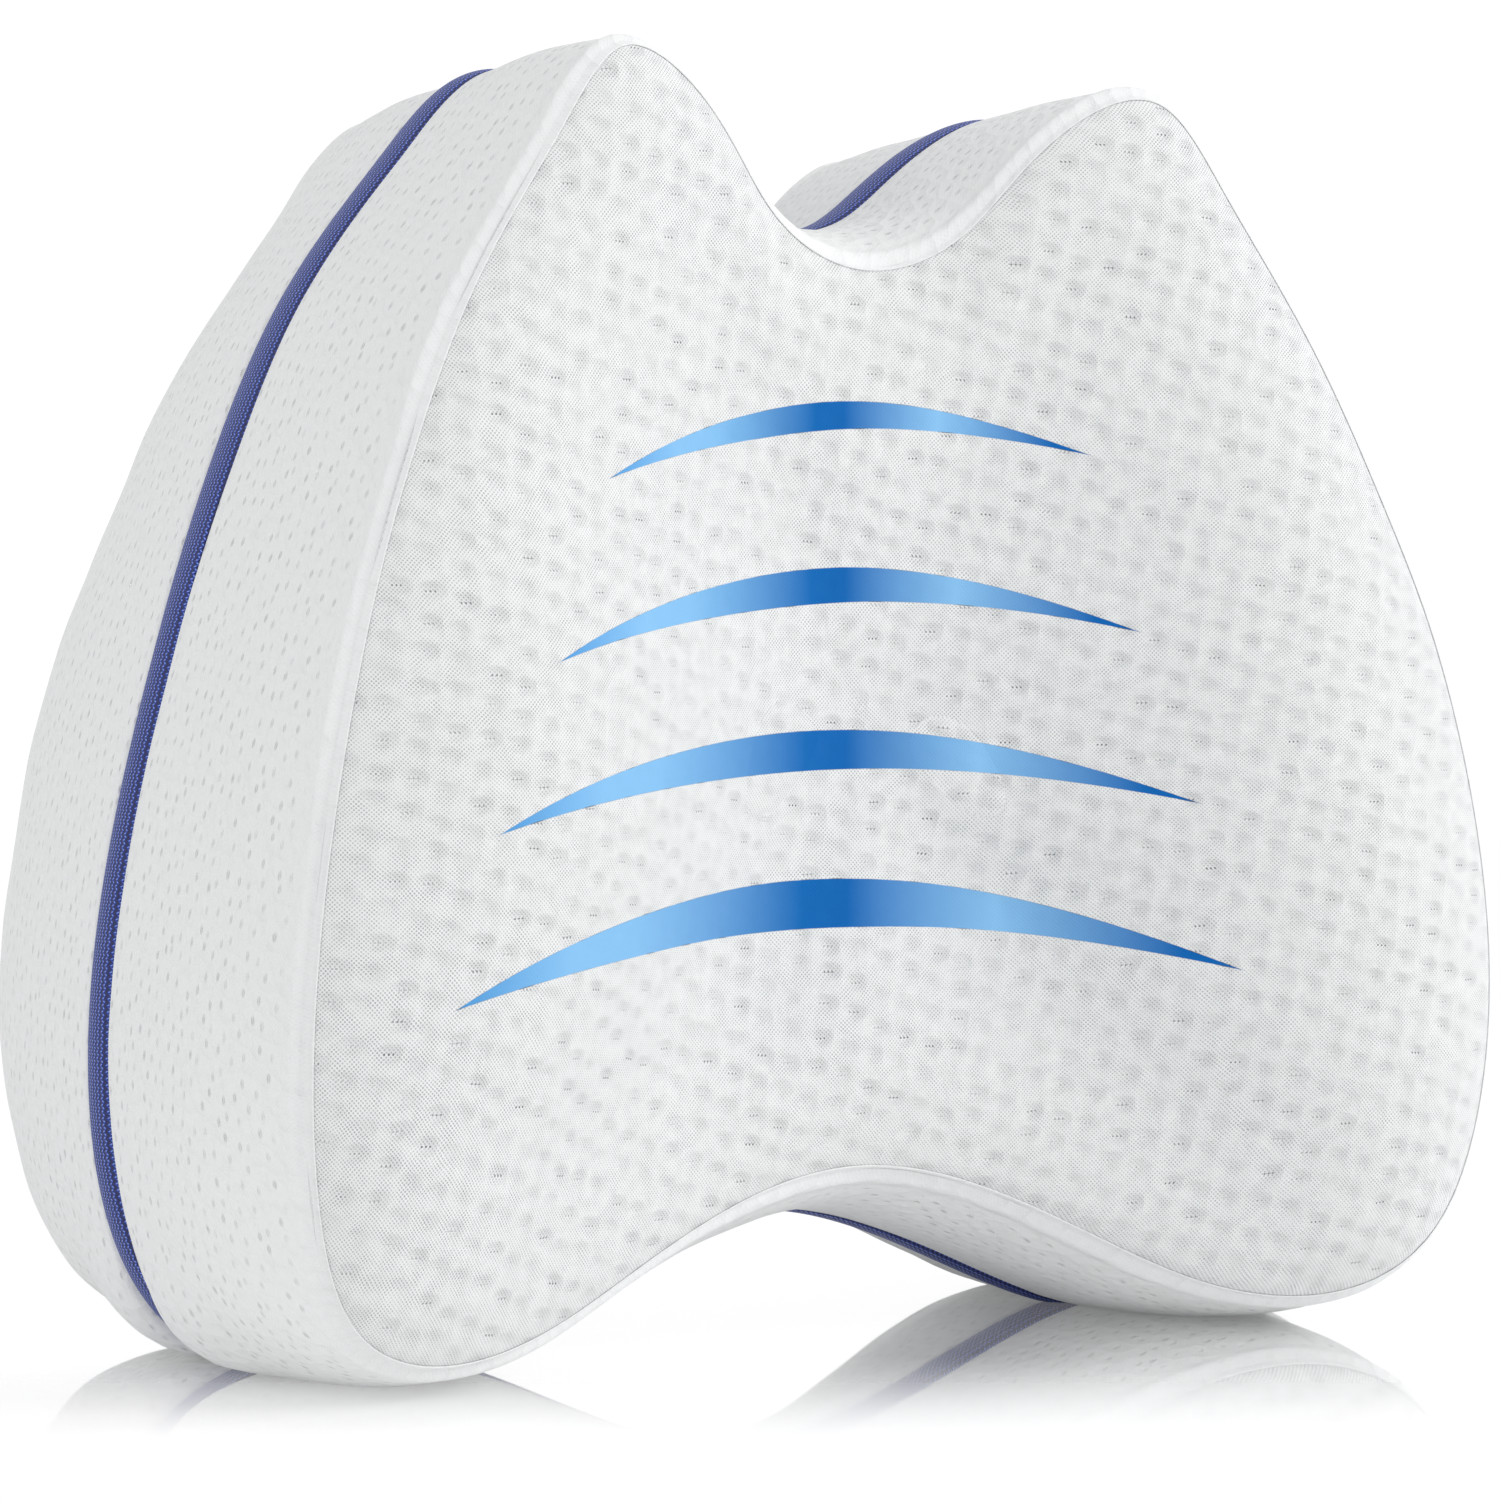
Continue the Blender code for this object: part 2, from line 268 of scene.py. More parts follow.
def loft(name, rings, cloth, poles=(), closed=False, to_seam=None):
    """A mesh between rings of points, capped at the poles.

    cloth has each point's place on the flat cloth, with the first point of each ring given again at its end,
    and to_seam has how far each point is from the seam.
    """
    form = bmesh.new()
    cloth_layer = form.loops.layers.uv.new("cloth")
    seam_layer = form.verts.layers.float.new("to_seam") if to_seam is not None else None
    loops = [[form.verts.new(point * MM) for point in points] for points in rings]
    count = len(loops[0])
    if to_seam is not None:
        for loop, distances in zip(loops, to_seam):
            for vertex, distance in zip(loop, distances):
                vertex[seam_layer] = distance * MM

    def add_face(corners, places):
        face = form.faces.new(corners)
        face.smooth = True
        for corner, (u, v) in zip(face.loops, places):
            corner[cloth_layer].uv = (u * MM, v * MM)

    for row in range(len(loops) if closed else len(loops) - 1):
        first, second = loops[row], loops[(row + 1) % len(loops)]
        for i in range(count):
            j = (i + 1) % count
            places = (cloth[row][i], cloth[row][i + 1], cloth[row + 1][i + 1], cloth[row + 1][i])
            add_face((first[i], first[j], second[j], second[i]), places)
    for pole, row in zip(poles, (0, -1)):
        tip = form.verts.new(pole * MM)
        middle = np.mean(cloth[row], axis=0)
        for i in range(count):
            places = (cloth[row][i], cloth[row][i + 1], middle)
            add_face((loops[row][i], loops[row][(i + 1) % count], tip), places)
    bmesh.ops.recalc_face_normals(form, faces=form.faces)
    mesh = bpy.data.meshes.new(name)
    form.to_mesh(mesh)
    form.free()
    return mesh


def place(name, mesh, material, node, slot):
    """An object of that mesh that stands for a node of the frame."""
    mesh.materials.append(material)
    obj = bpy.data.objects.new(name, mesh)
    bpy.context.scene.collection.objects.link(obj)
    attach(obj, "root")
    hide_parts(node)
    return obj


def band_cloth(outline, depths):
    """Places on a band's cloth: the length travelled round the outline, and the distance from the tape."""
    last = math.hypot(outline.x[0] - outline.x[-1], outline.z[0] - outline.z[-1])
    along = np.append(outline.along, outline.along[-1] + last)
    cloth = []
    for depth in depths:
        depth = np.broadcast_to(depth, outline.x.shape)
        cloth.append(np.stack([along, np.append(depth, depth[0])], axis=1))
    return cloth


def face_cloth(rings):
    """Places on a face's cloth: as far from the centre as the surface runs, in the same direction."""
    centre = face_centre()
    reach = np.zeros(len(rings[0]))
    before = centre
    cloth = []
    for points in rings[::-1]:
        reach = reach + np.linalg.norm(points - before, axis=1)
        heading = unit((points - centre)[:, [0, 2]])
        places = heading * reach[:, None] + (0, FACE_CENTRE_HEIGHT)
        cloth.append(np.vstack([places, places[:1]]))
        before = points
    return cloth[::-1]


def make_side_cover(outline, material):
    """The filled cushion with both side bands: bulging sides, rolled edges and the groove for the tape."""
    groove_edge = half_tape(outline) + PIECE_GAP
    groove_floor = TAPE_FLOOR_CLEARANCE + TAPE_PRESSED + PIECE_GAP
    rolled_in = np.array([0.0, 0.12, 0.45, 1.0])
    depths = [groove_edge + lip for lip in rolled_in]
    insets = [side_inset(outline, depth) + 0.8 * (1 - lip) ** 2 for depth, lip in zip(depths, rolled_in)]
    plain = outline.half_depth - ROLL_WIDTH - 2
    for share in np.linspace(0, 1, 17)[1:]:
        depths.append(groove_edge + 1 + (plain - groove_edge - 1) * share)
    for to_seam in np.linspace(ROLL_WIDTH + 2, 0, 16)[1:]:
        depths.append(outline.half_depth - np.maximum(to_seam, 0.05))
    insets += [side_inset(outline, depth) for depth in depths[len(insets):]]

    band = [ring(outline, TAPE_BED + PIECE_GAP, groove_edge, groove_floor)]
    band += [ring(outline, inset, depth) for inset, depth in zip(insets, depths)]
    depths = [groove_edge] + depths
    for row, points in enumerate(band):
        for i, point in enumerate(points):
            if row < 3 or point[2] < 3:
                continue
            fade = min(1, (row - 2) / 6, (len(band) - row) / 3)
            lump = 0.75 * unevenness(point, 34, 1) + 0.3 * unevenness(point, 13, 4)
            point[0] -= outline.in_x[i] * lump * fade
            point[2] -= outline.in_z[i] * lump * fade

    face = face_rings(outline, (SEAM_OVERLAP, 5.0, 14.0, 30.0), (0.7, 0.35))
    normals = into_cushion(face)
    folded_edge = [
        face[1] - normals[1] * (SEAM_CLEARANCE + 0.3) + unit(face[0] - face[1]) * 0.25,
        face[1] - normals[1] * SEAM_CLEARANCE,
    ]
    under_panel = PANEL_THICKNESS + PIECE_GAP
    bed = np.array(face) + normals * under_panel
    edge = unit(face[0] - face[1]) * PIECE_GAP
    half = band + folded_edge + [face[0] + edge, bed[0] + edge] + list(bed[2:])
    across = depths + [outline.half_depth + 0.5] * (len(half) - len(depths))
    mirror = (1, -1, 1)
    back = [points * mirror for points in half[::-1]]
    rings = back + half
    sides = [-depth for depth in across[::-1]] + across
    seam_distances = [np.maximum(outline.half_depth - np.abs(depth), 0) for depth in sides]
    pole = face_centre(under_panel)
    mesh = loft(
        "side_cover", rings, band_cloth(outline, sides), poles=(pole * mirror, pole), to_seam=seam_distances
    )
    piece = place("side_cover", mesh, material, "cushion", "white_knit")


def make_panel(name, outline, material, node, towards_back):
    """A knitted face panel: a dished sheet with a rounded lip, held by the seam all round."""
    distances = [0.4, 1.0, 1.8, 2.8, 4.0] + list(np.linspace(5.5, LIP_RUN, 15))
    shares = list(np.linspace(1, 0, 44)[1:-1])
    outer = face_rings(outline, distances, shares)
    for row, points in enumerate(outer):
        fade = min(1, max(0, row - 4) / 12)
        for point in points:
            lump = 0.7 * unevenness(point, 42, 2) + 0.25 * unevenness(point, 15, 6)
            point[1] -= lump * fade
    coarse = [outer[row] for row in (0, 3, 8, 14, 20, 32, 46)]
    inner = list(np.array(coarse) + into_cushion(coarse) * PANEL_THICKNESS)
    rings = outer[::-1] + inner
    poles = [face_centre(), face_centre(PANEL_THICKNESS)]
    cloth = face_cloth(outer)[::-1] + face_cloth(inner)
    if towards_back:
        rings = [points * (1, -1, 1) for points in rings]
        poles = [pole * (1, -1, 1) for pole in poles]
    mesh = loft(name, rings, cloth, poles=poles)
    return place(name, mesh, material, node, "white_knit")


def make_tape(outline, material):
    """The woven tape in its groove, domed across its width."""
    half = half_tape(outline)
    bed_lowest = TAPE_FLOOR_CLEARANCE + TAPE_PRESSED
    section = [(-half, TAPE_BED, bed_lowest), (half, TAPE_BED, bed_lowest)]
    for share in np.linspace(1, -1, 15):
        dome = TAPE_EDGE_DROP - (TAPE_CROWN + TAPE_EDGE_DROP) * (1 - share**2) ** 0.6
        section.append((half * share, dome, TAPE_FLOOR_CLEARANCE))
    rings = [ring(outline, inset, depth, low) for depth, inset, low in section]
    across = [depth for depth, inset, low in section]
    mesh = loft("woven_tape", rings, band_cloth(outline, across + across[:1]), closed=True)
    return place("woven_tape", mesh, material, "middle_tape", "blue_mesh")


# Materials

def linear(code):
    """The linear colour of an sRGB hex code."""
    values = [int(code[i : i + 2], 16) / 255 for i in (1, 3, 5)]
    return (*(v / 12.92 if v <= 0.04045 else ((v + 0.055) / 1.055) ** 2.4 for v in values), 1.0)


def add(tree, kind, inputs=None, **settings):
    """A node of that kind with its settings, its sockets set to values or linked to other sockets."""
    node = tree.nodes.new(kind)
    for name, value in settings.items():
        setattr(node, name, value)
    for socket, value in (inputs or {}).items():
        if isinstance(value, bpy.types.NodeSocket):
            tree.links.new(value, node.inputs[socket])
        else:
            node.inputs[socket].default_value = value
    return node


def maths(tree, operation, *values):
    """The result of a maths node on values or sockets."""
    node = add(tree, "ShaderNodeMath", dict(enumerate(values)), operation=operation)
    return node.outputs[0]


def new_material(name):
    """A new material with its node tree and its shader."""
    material = bpy.data.materials.new(name)
    material.use_nodes = True
    tree = material.node_tree
    return material, tree, tree.nodes["Principled BSDF"]


def lattice(tree, place, pitch, lean, drop, wander):
    """The nearest point of a leaning lattice: how far off it is each way in metres, its distance and luck."""
    parts = add(tree, "ShaderNodeSeparateXYZ", {0: place})
    column = maths(tree, "DIVIDE", parts.outputs["X"], pitch)
    row = maths(tree, "DIVIDE", parts.outputs["Y"], pitch)
    leaning = maths(tree, "MULTIPLY_ADD", row, lean, column)
    dropping = maths(tree, "MULTIPLY_ADD", column, drop, row)
    where = add(tree, "ShaderNodeCombineXYZ", {"X": leaning, "Y": dropping}).outputs[0]
    cell = add(
        tree,
        "ShaderNodeTexVoronoi",
        {"Vector": where, "Scale": 1.0, "Randomness": wander},
        voronoi_dimensions="2D",
    )
    away = add(
        tree,
        "ShaderNodeVectorMath",
        {0: where, 1: cell.outputs["Position"]},
        operation="SUBTRACT",
    ).outputs[0]
    parts = add(tree, "ShaderNodeSeparateXYZ", {0: away})
    upright = maths(tree, "MULTIPLY_ADD", parts.outputs["Y"], -lean, parts.outputs["X"])
    level = maths(tree, "MULTIPLY_ADD", parts.outputs["X"], -drop, parts.outputs["Y"])
    size = pitch / (1 - lean * drop)
    right = maths(tree, "MULTIPLY", upright, size)
    up = maths(tree, "MULTIPLY", level, size)
    luck = add(tree, "ShaderNodeSeparateColor", {0: cell.outputs["Color"]}).outputs[0]
    return right, up, cell.outputs["Distance"], luck


def mark(tree, right, up, size, hardness=0.3):
    """1 in the middle of an oval mark of that width and height, falling softly to 0 at its rim."""
    far = add(
        tree,
        "ShaderNodeVectorMath",
        {
            0: add(
                tree,
                "ShaderNodeCombineXYZ",
                {
                    "X": maths(tree, "DIVIDE", right, size[0] / 2),
                    "Y": maths(tree, "DIVIDE", up, size[1] / 2),
                },
            ).outputs[0]
        },
        operation="LENGTH",
    ).outputs["Value"]
    soft = add(
        tree,
        "ShaderNodeMapRange",
        {"Value": far, "From Min": hardness, "From Max": 1.0, "To Min": 1.0, "To Max": 0.0},
        interpolation_type="SMOOTHSTEP",
    )
    return soft.outputs[0]


def beside(tree, right, offset):
    """The same offset mirrored, so that a mark drawn from it comes out as a pair side by side."""
    return maths(tree, "SUBTRACT", maths(tree, "ABSOLUTE", right), offset)


# Light and dark blue along a crescent.
CRESCENT_BLUES = [
    (0.0, "#4A93D0"),
    (0.13, "#80B7E3"),
    (0.2, "#7CB4E0"),
    (0.41, "#0062AC"),
    (0.47, "#005FAA"),
    (0.67, "#84BAE5"),
    (0.92, "#0060AC"),
]
PRINT_SOFTNESS = 0.1 * MM


def crescent_print(tree):
    """1 inside the printed crescents, and each one's light and dark blue along its length."""
    turn = math.radians(PRINT_TURN)
    where = add(tree, "ShaderNodeTexCoord").outputs["Object"]
    across = (math.cos(turn), -math.sin(turn), 0)
    x = add(tree, "ShaderNodeVectorMath", {0: where, 1: across}, operation="DOT_PRODUCT").outputs["Value"]
    z = add(tree, "ShaderNodeSeparateXYZ", {0: where}).outputs["Z"]
    inside, colour = 0.0, None
    for arc in CRESCENTS:
        span = (arc.right_x - arc.left_x) * MM
        share = maths(tree, "DIVIDE", maths(tree, "SUBTRACT", x, arc.left_x * MM), span)
        chord = maths(tree, "MULTIPLY_ADD", share, (arc.right_z - arc.left_z) * MM, arc.left_z * MM)
        above = maths(tree, "SUBTRACT", z, chord)
        left_over = maths(tree, "SUBTRACT", 1.0, share)
        hump = maths(tree, "MULTIPLY", maths(tree, "MULTIPLY", share, 4.0), left_over)
        to_left = maths(tree, "MULTIPLY_ADD", share, -2.0, 1.0)
        bottom = maths(tree, "MULTIPLY_ADD", to_left, BOTTOM_LEAN * arc.bottom * MM, arc.bottom * MM)
        top = maths(tree, "MULTIPLY_ADD", to_left, TOP_LEAN * arc.top * MM, arc.top * MM)
        over_bottom = maths(tree, "SUBTRACT", above, maths(tree, "MULTIPLY", hump, bottom))
        under_top = maths(tree, "SUBTRACT", maths(tree, "MULTIPLY", hump, top), above)
        depth = maths(tree, "MINIMUM", over_bottom, under_top)
        ink = add(
            tree,
            "ShaderNodeMapRange",
            {"Value": depth, "From Min": -PRINT_SOFTNESS, "From Max": PRINT_SOFTNESS},
            interpolation_type="SMOOTHSTEP",
        ).outputs[0]
        ramp = add(tree, "ShaderNodeValToRGB", {"Fac": share})
        set_ramp(ramp, CRESCENT_BLUES)
        ramp_colour = ramp.outputs["Color"]
        if colour is None:
            inside, colour = ink, ramp_colour
            continue
        mix = add(
            tree,
            "ShaderNodeMix",
            {"Factor": ink, "A": colour, "B": ramp_colour},
            data_type="RGBA",
        )
        colour = mix.outputs["Result"]
        inside = maths(tree, "MAXIMUM", inside, ink)
    return inside, colour


def set_ramp(ramp, stops):
    """Gives a colour ramp its stops, each a position and an sRGB hex code."""
    elements = ramp.color_ramp.elements
    while len(elements) < len(stops):
        elements.new(0.5)
    for element, (position, code) in zip(elements, stops):
        element.position = position
        element.color = linear(code)


# Knitted polyester and spandex jacquard: matt, slightly fuzzy and cool white. The face shows the gaps between
# its stitches, a waffle of soft hollows and pinholes in twos and threes, and the side is smoother, with short
# soft dents. The real stitches are 0.66 mm apart, and they are drawn at 0.76 mm so that they show.
STITCH = 0.76 * MM
YARN_WHITE = "#E4E5E5"
# Painted shade in the gaps between the stitches.
GAP_PAINTED_SHADE_GREY = "#A3A7AD"
# Painted shade in the pinholes.
HOLE_PAINTED_SHADE_GREY = "#3E4148"
# Painted shade in the dents.
DENT_PAINTED_SHADE_GREY = "#8D9299"
# Painted highlight on the fold of the rolled edge at the seam.
FOLD_PAINTED_HIGHLIGHT_WHITE = "#ECEEEF"
CLOTH_WANDER = 1.4 * MM
Knit = namedtuple(
    "Knit",
    "pitch lean drop wander dent dent_depth dent_shade hole hole_shade hole_depth"
    " puff stitch stitch_shade fuzz",
)
FACE_KNIT = Knit(
    pitch=5.9 * MM,
    lean=-0.19,
    drop=0.32,
    wander=0.3,
    dent=(6.4 * MM, 4.2 * MM),
    dent_depth=0.8,
    dent_shade=0.03,
    hole=0.5 * MM,
    hole_shade=0.85,
    hole_depth=0.12,
    puff=0.3,
    stitch=0.16,
    stitch_shade=0.7,
    fuzz=0.22,
)
SIDE_KNIT = Knit(
    pitch=3.7 * MM,
    lean=0.5,
    drop=0.2,
    wander=0.6,
    dent=(1.1 * MM, 2.2 * MM),
    dent_depth=0.42,
    dent_shade=0.13,
    hole=0.5 * MM,
    hole_shade=0.0,
    hole_depth=0.0,
    puff=0.5,
    stitch=0.03,
    stitch_shade=0.08,
    fuzz=0.45,
)


def jacquard_knit(name, knit, on_band, printed=False):
    """The knit as colour and relief on its own flat cloth, where the band's runs along its length."""
    material, tree, shader = new_material(name)
    cloth = add(tree, "ShaderNodeUVMap", uv_map="cloth").outputs[0]
    wander = add(tree, "ShaderNodeTexNoise", {"Vector": cloth, "Scale": 90.0, "Detail": 2.0})
    bend = add(
        tree,
        "ShaderNodeVectorMath",
        {0: wander.outputs["Color"], 1: (0.5, 0.5, 0.5)},
        operation="SUBTRACT",
    )
    bent = add(
        tree,
        "ShaderNodeVectorMath",
        {0: bend.outputs[0], 1: (CLOTH_WANDER, CLOTH_WANDER, 0), 2: cloth},
        operation="MULTIPLY_ADD",
    ).outputs[0]
    parts = add(tree, "ShaderNodeSeparateXYZ", {0: bent})
    across, along = parts.outputs["X"], parts.outputs["Y"]
    if on_band:
        across, along = along, across
    wales = maths(tree, "COSINE", maths(tree, "MULTIPLY", across, 2 * math.pi / STITCH))
    courses = maths(tree, "COSINE", maths(tree, "MULTIPLY", along, 2 * math.pi / STITCH))
    gaps = add(
        tree,
        "ShaderNodeMapRange",
        {"Value": maths(tree, "MULTIPLY", wales, courses), "From Min": 0.1, "From Max": 0.9},
        interpolation_type="SMOOTHSTEP",
    ).outputs[0]
    turned = add(tree, "ShaderNodeCombineXYZ", {"X": across, "Y": along}).outputs[0]
    right, up, distance, luck = lattice(tree, turned, knit.pitch, knit.lean, knit.drop, knit.wander)
    strength = maths(tree, "MULTIPLY_ADD", luck, 0.5, 0.5)
    dents = mark(tree, right, up, knit.dent, hardness=0.0)
    dents = maths(tree, "MULTIPLY", dents, strength)
    streaks = add(tree, "ShaderNodeMapping", {"Vector": turned, "Scale": (1.0, 0.4, 1.0)}).outputs[0]
    fuzz = add(tree, "ShaderNodeTexNoise", {"Vector": streaks, "Scale": 520.0, "Detail": 3.0}).outputs["Fac"]
    patchy = add(tree, "ShaderNodeTexNoise", {"Vector": turned, "Scale": 330.0, "Detail": 2.0}).outputs["Fac"]
    patchy = add(tree, "ShaderNodeMapRange", {"Value": patchy, "From Min": 0.35, "From Max": 0.65}).outputs[0]
    gaps = maths(tree, "MULTIPLY", gaps, maths(tree, "MULTIPLY_ADD", patchy, 0.45, 0.55))
    puffs = maths(tree, "MULTIPLY", maths(tree, "MULTIPLY", distance, distance), knit.puff)

    height = maths(tree, "MULTIPLY_ADD", fuzz, knit.fuzz, puffs)
    height = maths(tree, "MULTIPLY_ADD", gaps, -knit.stitch, height)

    def shaded(amount, under, over):
        mixed = add(tree, "ShaderNodeMix", {"Factor": amount, "A": under, "B": over}, data_type="RGBA")
        return mixed.outputs["Result"]

    # Painted shade darkens the gaps between the stitches.
    yarn = shaded(maths(tree, "MULTIPLY", gaps, knit.stitch_shade), linear(YARN_WHITE), linear(GAP_PAINTED_SHADE_GREY))
    if knit.hole_shade:
        middle = mark(tree, right, up, (knit.hole, knit.hole))
        pair = mark(tree, beside(tree, right, STITCH), up, (knit.hole, knit.hole))
        holes = maths(tree, "MAXIMUM", middle, maths(tree, "MULTIPLY", pair, luck))
        open_ones = maths(tree, "MULTIPLY_ADD", maths(tree, "MULTIPLY", luck, luck), 0.85, 0.15)
        holes = maths(tree, "MULTIPLY", holes, open_ones)
        height = maths(tree, "MULTIPLY_ADD", holes, -knit.hole_depth, height)
        if printed:
            inside, ink = crescent_print(tree)
            bare = maths(tree, "MULTIPLY_ADD", inside, -0.85, 1.0)
            height = maths(tree, "MULTIPLY", height, bare)
            holes = maths(tree, "MULTIPLY", holes, bare)
            dents = maths(tree, "MULTIPLY", dents, bare)
        # Painted shade darkens the pinholes.
        yarn = shaded(maths(tree, "MULTIPLY", holes, knit.hole_shade), yarn, linear(HOLE_PAINTED_SHADE_GREY))
        if printed:
            yarn = shaded(inside, yarn, ink)
    if on_band:
        # The rolled edge at the seam has no dents, and a painted highlight makes its fold a little paler.
        from_seam = add(tree, "ShaderNodeAttribute", attribute_name="to_seam").outputs["Fac"]
        beyond_roll = add(
            tree,
            "ShaderNodeMapRange",
            {"Value": from_seam, "From Min": ROLL_WIDTH * MM, "From Max": (ROLL_WIDTH + 3) * MM},
            interpolation_type="SMOOTHSTEP",
        ).outputs[0]
        dents = maths(tree, "MULTIPLY", dents, beyond_roll)
        painted_highlight_at_edge = add(
            tree,
            "ShaderNodeMapRange",
            {"Value": from_seam, "From Min": 1.2 * MM, "From Max": 2.2 * MM, "To Min": 0.25, "To Max": 0.0},
            interpolation_type="SMOOTHSTEP",
        ).outputs[0]
        yarn = shaded(painted_highlight_at_edge, yarn, linear(FOLD_PAINTED_HIGHLIGHT_WHITE))
    # Painted shade darkens the dents.
    yarn = shaded(maths(tree, "MULTIPLY", dents, knit.dent_shade), yarn, linear(DENT_PAINTED_SHADE_GREY))
    height = maths(tree, "MULTIPLY_ADD", dents, -knit.dent_depth, height)
    relief = add(tree, "ShaderNodeBump", {"Height": height, "Strength": 1.0, "Distance": MM})
    tree.links.new(yarn, shader.inputs["Base Color"])
    tree.links.new(relief.outputs[0], shader.inputs["Normal"])
    shader.inputs["Roughness"].default_value = 0.9
    shader.inputs["Specular IOR Level"].default_value = 0.2
    shader.inputs["Sheen Weight"].default_value = 0.08
    shader.inputs["Sheen Roughness"].default_value = 0.5
    return material


# The length of one zig and zag along the tape, and the space from rib to rib across it.
ZIGZAG_LENGTH = 1.15 * MM
RIB_WIDTH = 1.1 * MM
# The royal blue is the tape's own; its darkest stops are painted shade between the ribs and its palest stop
# is a painted highlight, the glints.
TAPE_BLUES_WITH_PAINTED_SHADE_AND_GLINTS = [(0.1, "#08144A"), (0.42, "#11287C"), (0.74, "#1B3DA6"), (0.95, "#8CA8F2")]


def woven_tape():
    """Woven polyester tape: royal blue zigzag weave, a little glossy, darker between the ribs as painted
    shade, with pale glints between the yarns as painted highlights.
    """
    material, tree, shader = new_material("woven_polyester_tape")
    cloth = add(tree, "ShaderNodeUVMap", uv_map="cloth").outputs[0]
    parts = add(tree, "ShaderNodeSeparateXYZ", {0: cloth})
    along, across = parts.outputs["X"], parts.outputs["Y"]
    zig = maths(tree, "PINGPONG", along, ZIGZAG_LENGTH / 2)
    swerved = maths(tree, "MULTIPLY_ADD", zig, 0.85, across)
    ribs = maths(tree, "SINE", maths(tree, "MULTIPLY", swerved, 2 * math.pi / RIB_WIDTH))
    ribs = maths(tree, "MULTIPLY_ADD", ribs, 0.5, 0.5)
    threads = maths(tree, "SINE", maths(tree, "MULTIPLY", along, 4 * math.pi / ZIGZAG_LENGTH))
    yarns = maths(tree, "MULTIPLY", ribs, maths(tree, "MULTIPLY_ADD", threads, 0.18, 0.82))
    # Painted shade between the ribs and painted glints on their crests, over the tape's royal blue.
    colour = add(tree, "ShaderNodeValToRGB", {"Fac": yarns})
    set_ramp(colour, TAPE_BLUES_WITH_PAINTED_SHADE_AND_GLINTS)
    relief = add(tree, "ShaderNodeBump", {"Height": yarns, "Strength": 0.8, "Distance": 0.35 * MM})
    tree.links.new(colour.outputs["Color"], shader.inputs["Base Color"])
    tree.links.new(relief.outputs[0], shader.inputs["Normal"])
    shader.inputs["Roughness"].default_value = 0.5
    return material


def glossy_floor():
    """Polished white acrylic light table: a clear reflection under the pillow that fades in front of it."""
    material = bpy.data.materials.new("polished_white_acrylic")
    material.use_nodes = True
    tree = material.node_tree
    tree.nodes.clear()
    turn = math.radians(CAMERA_TURN)
    where = add(tree, "ShaderNodeTexCoord").outputs["Object"]
    forward = add(
        tree,
        "ShaderNodeVectorMath",
        {0: where, 1: (-math.sin(turn), -math.cos(turn), 0)},
        operation="DOT_PRODUCT",
    ).outputs["Value"]
    polish = add(
        tree,
        "ShaderNodeMapRange",
        {"Value": forward, "From Min": 0.03, "From Max": 0.14, "To Min": 0.85, "To Max": 0.0},
        interpolation_type="SMOOTHSTEP",
    ).outputs[0]
    sheet = add(tree, "ShaderNodeBsdfDiffuse", {"Color": linear("#FDFDFD")})
    glow = add(tree, "ShaderNodeEmission", {"Color": linear("#FFFFFF"), "Strength": 1.05})
    body = add(tree, "ShaderNodeMixShader", {0: 0.5, 1: sheet.outputs[0], 2: glow.outputs[0]})
    gloss = add(tree, "ShaderNodeBsdfGlossy", {"Color": linear("#FFFFFF"), "Roughness": 0.03})
    mixed = add(tree, "ShaderNodeMixShader", {0: polish, 1: body.outputs[0], 2: gloss.outputs[0]})
    output = add(tree, "ShaderNodeOutputMaterial")
    tree.links.new(mixed.outputs[0], output.inputs[0])
    return material


# Floor, light and camera

def aim(obj, target):
    direction = Vector(target) - obj.location
    obj.rotation_euler = direction.to_track_quat("-Z", "Y").to_euler()


def softbox(name, place, target, size, power):
    light = bpy.data.lights.new(name, "AREA")
    light.shape = "RECTANGLE"
    light.size, light.size_y = size
    light.energy = power
    obj = bpy.data.objects.new(name, light)
    obj.location = place
    bpy.context.scene.collection.objects.link(obj)
    aim(obj, target)


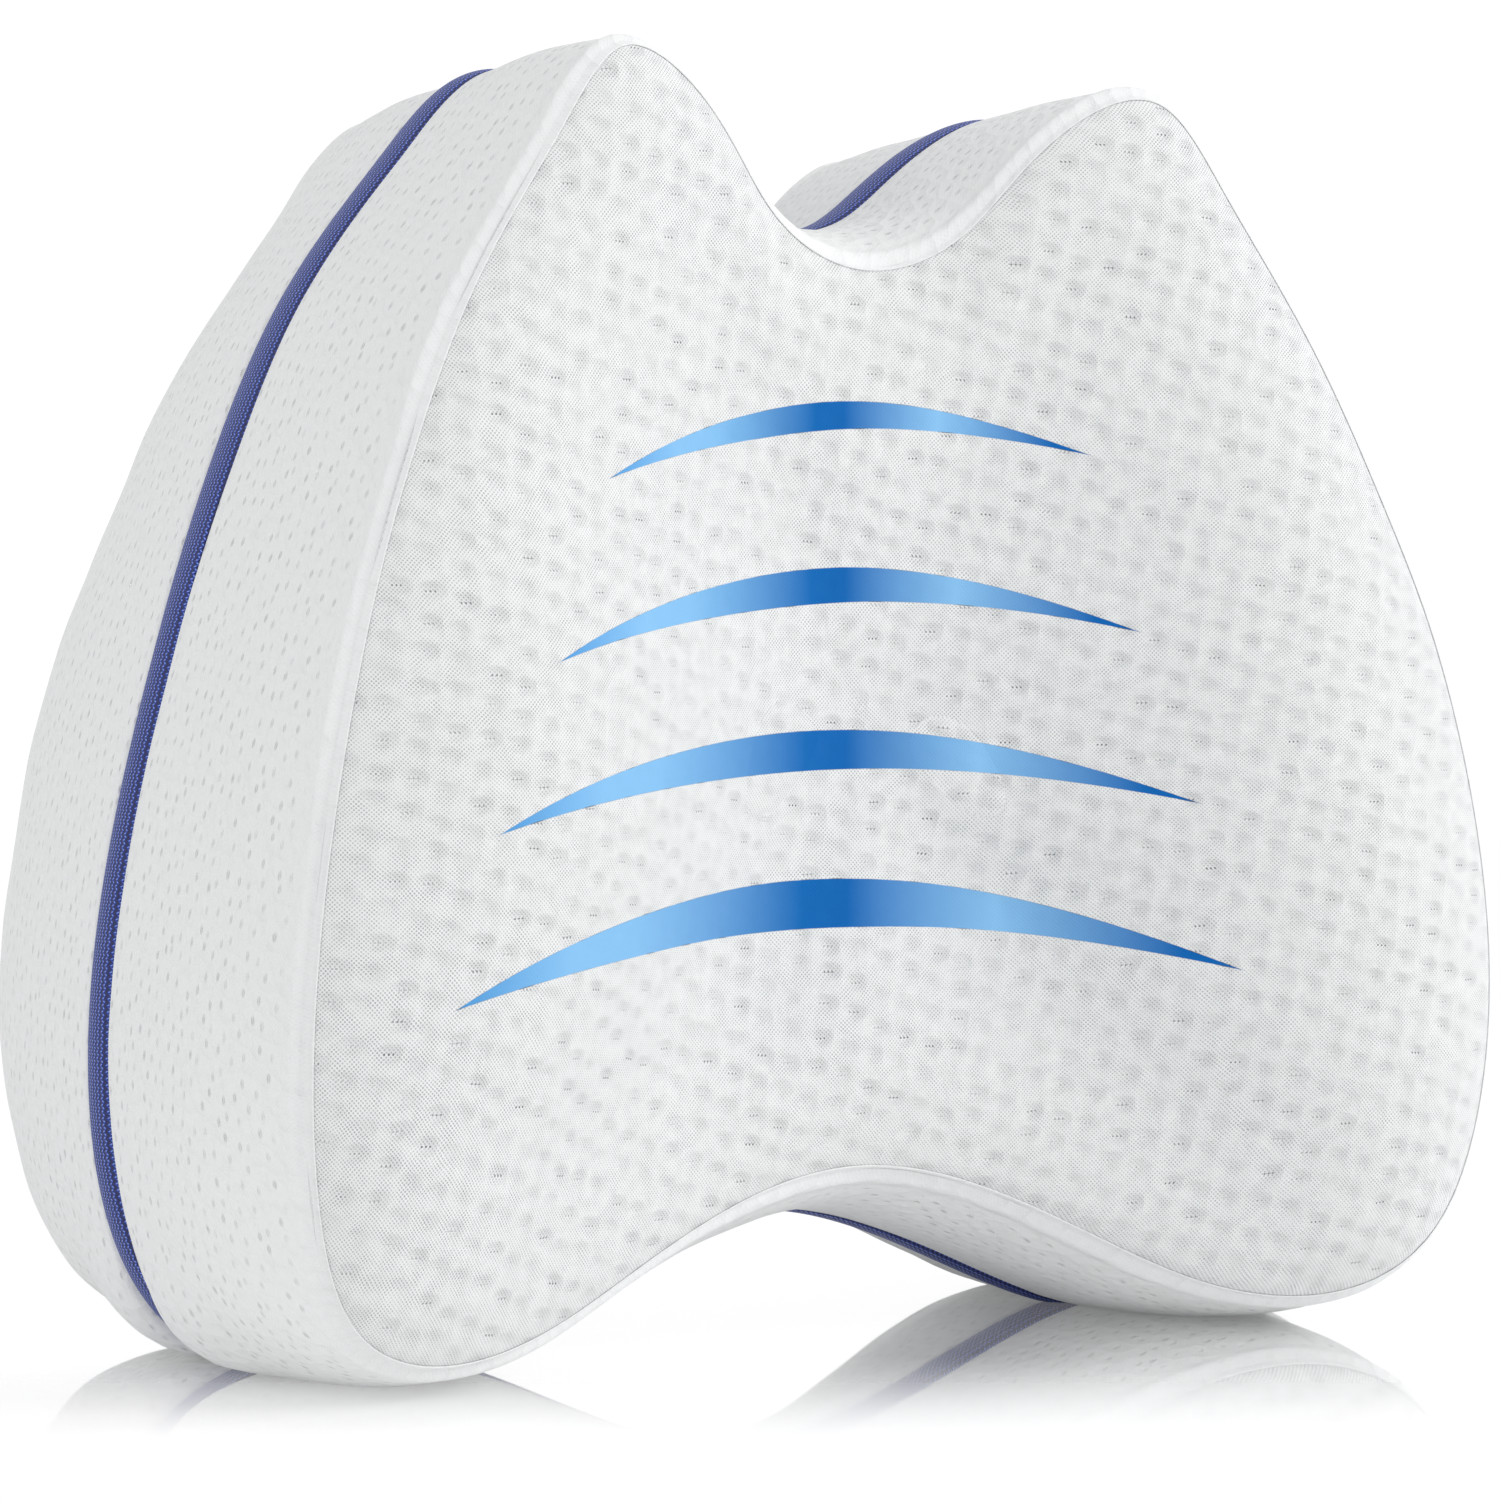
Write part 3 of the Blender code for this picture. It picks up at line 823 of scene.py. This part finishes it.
def make_stage():
    mesh = bpy.data.meshes.new("floor")
    reach = 6.0
    corners = [(-reach, -reach, 0), (reach, -reach, 0), (reach, reach, 0), (-reach, reach, 0)]
    mesh.from_pydata(corners, [], [(0, 1, 2, 3)])
    mesh.materials.append(glossy_floor())
    floor = bpy.data.objects.new("floor", mesh)
    bpy.context.scene.collection.objects.link(floor)

    world = bpy.data.worlds.new("studio")
    bpy.context.scene.world = world
    world.use_nodes = True
    tree = world.node_tree
    surround = tree.nodes["Background"]
    surround.inputs["Color"].default_value = linear("#FEFEFF")
    rays = add(tree, "ShaderNodeLightPath")
    strength = add(
        tree,
        "ShaderNodeMapRange",
        {"Value": rays.outputs["Is Diffuse Ray"], "To Min": 1.05, "To Max": AMBIENT},
    )
    tree.links.new(strength.outputs[0], surround.inputs["Strength"])

    middle = (0, 0, 0.11)
    softbox("key", (0.66, -1.17, 0.8), middle, (0.5, 0.5), KEY_POWER)
    softbox("right_fill", (1.25, -0.6, 0.8), middle, (0.5, 0.5), RIGHT_POWER)
    softbox("left_fill", (-1.35, -0.1, 0.5), middle, (0.8, 0.8), SIDE_POWER)
    softbox("top", (0, -0.1, 1.55), middle, (0.5, 0.5), TOP_POWER)


def make_camera():
    turn = math.radians(CAMERA_TURN)
    data = bpy.data.cameras.new("camera")
    data.sensor_width = 36.0
    data.lens = CAMERA_FOCAL
    data.shift_x, data.shift_y = CAMERA_SHIFT
    camera = bpy.data.objects.new("camera", data)
    bpy.context.scene.collection.objects.link(camera)
    away = CAMERA_DISTANCE * MM
    camera.location = (-away * math.sin(turn), -away * math.cos(turn), CAMERA_HEIGHT * MM)
    camera.rotation_euler = (math.pi / 2, 0, -turn)
    bpy.context.scene.camera = camera


def main():
    outline = make_outline(AROUND)
    make_side_cover(outline, jacquard_knit("jacquard_knit_side", SIDE_KNIT, on_band=True))
    front_cloth = jacquard_knit("jacquard_knit_printed", FACE_KNIT, on_band=False, printed=True)
    front = make_panel("front_face", outline, front_cloth, "front_panel", towards_back=False)
    back_cloth = jacquard_knit("jacquard_knit_plain", FACE_KNIT, on_band=False)
    back = make_panel("back_face", outline, back_cloth, "back_panel", towards_back=True)
    make_tape(outline, woven_tape())
    make_stage()
    make_camera()
    scene = bpy.context.scene
    scene.view_settings.view_transform = "Standard"


main()
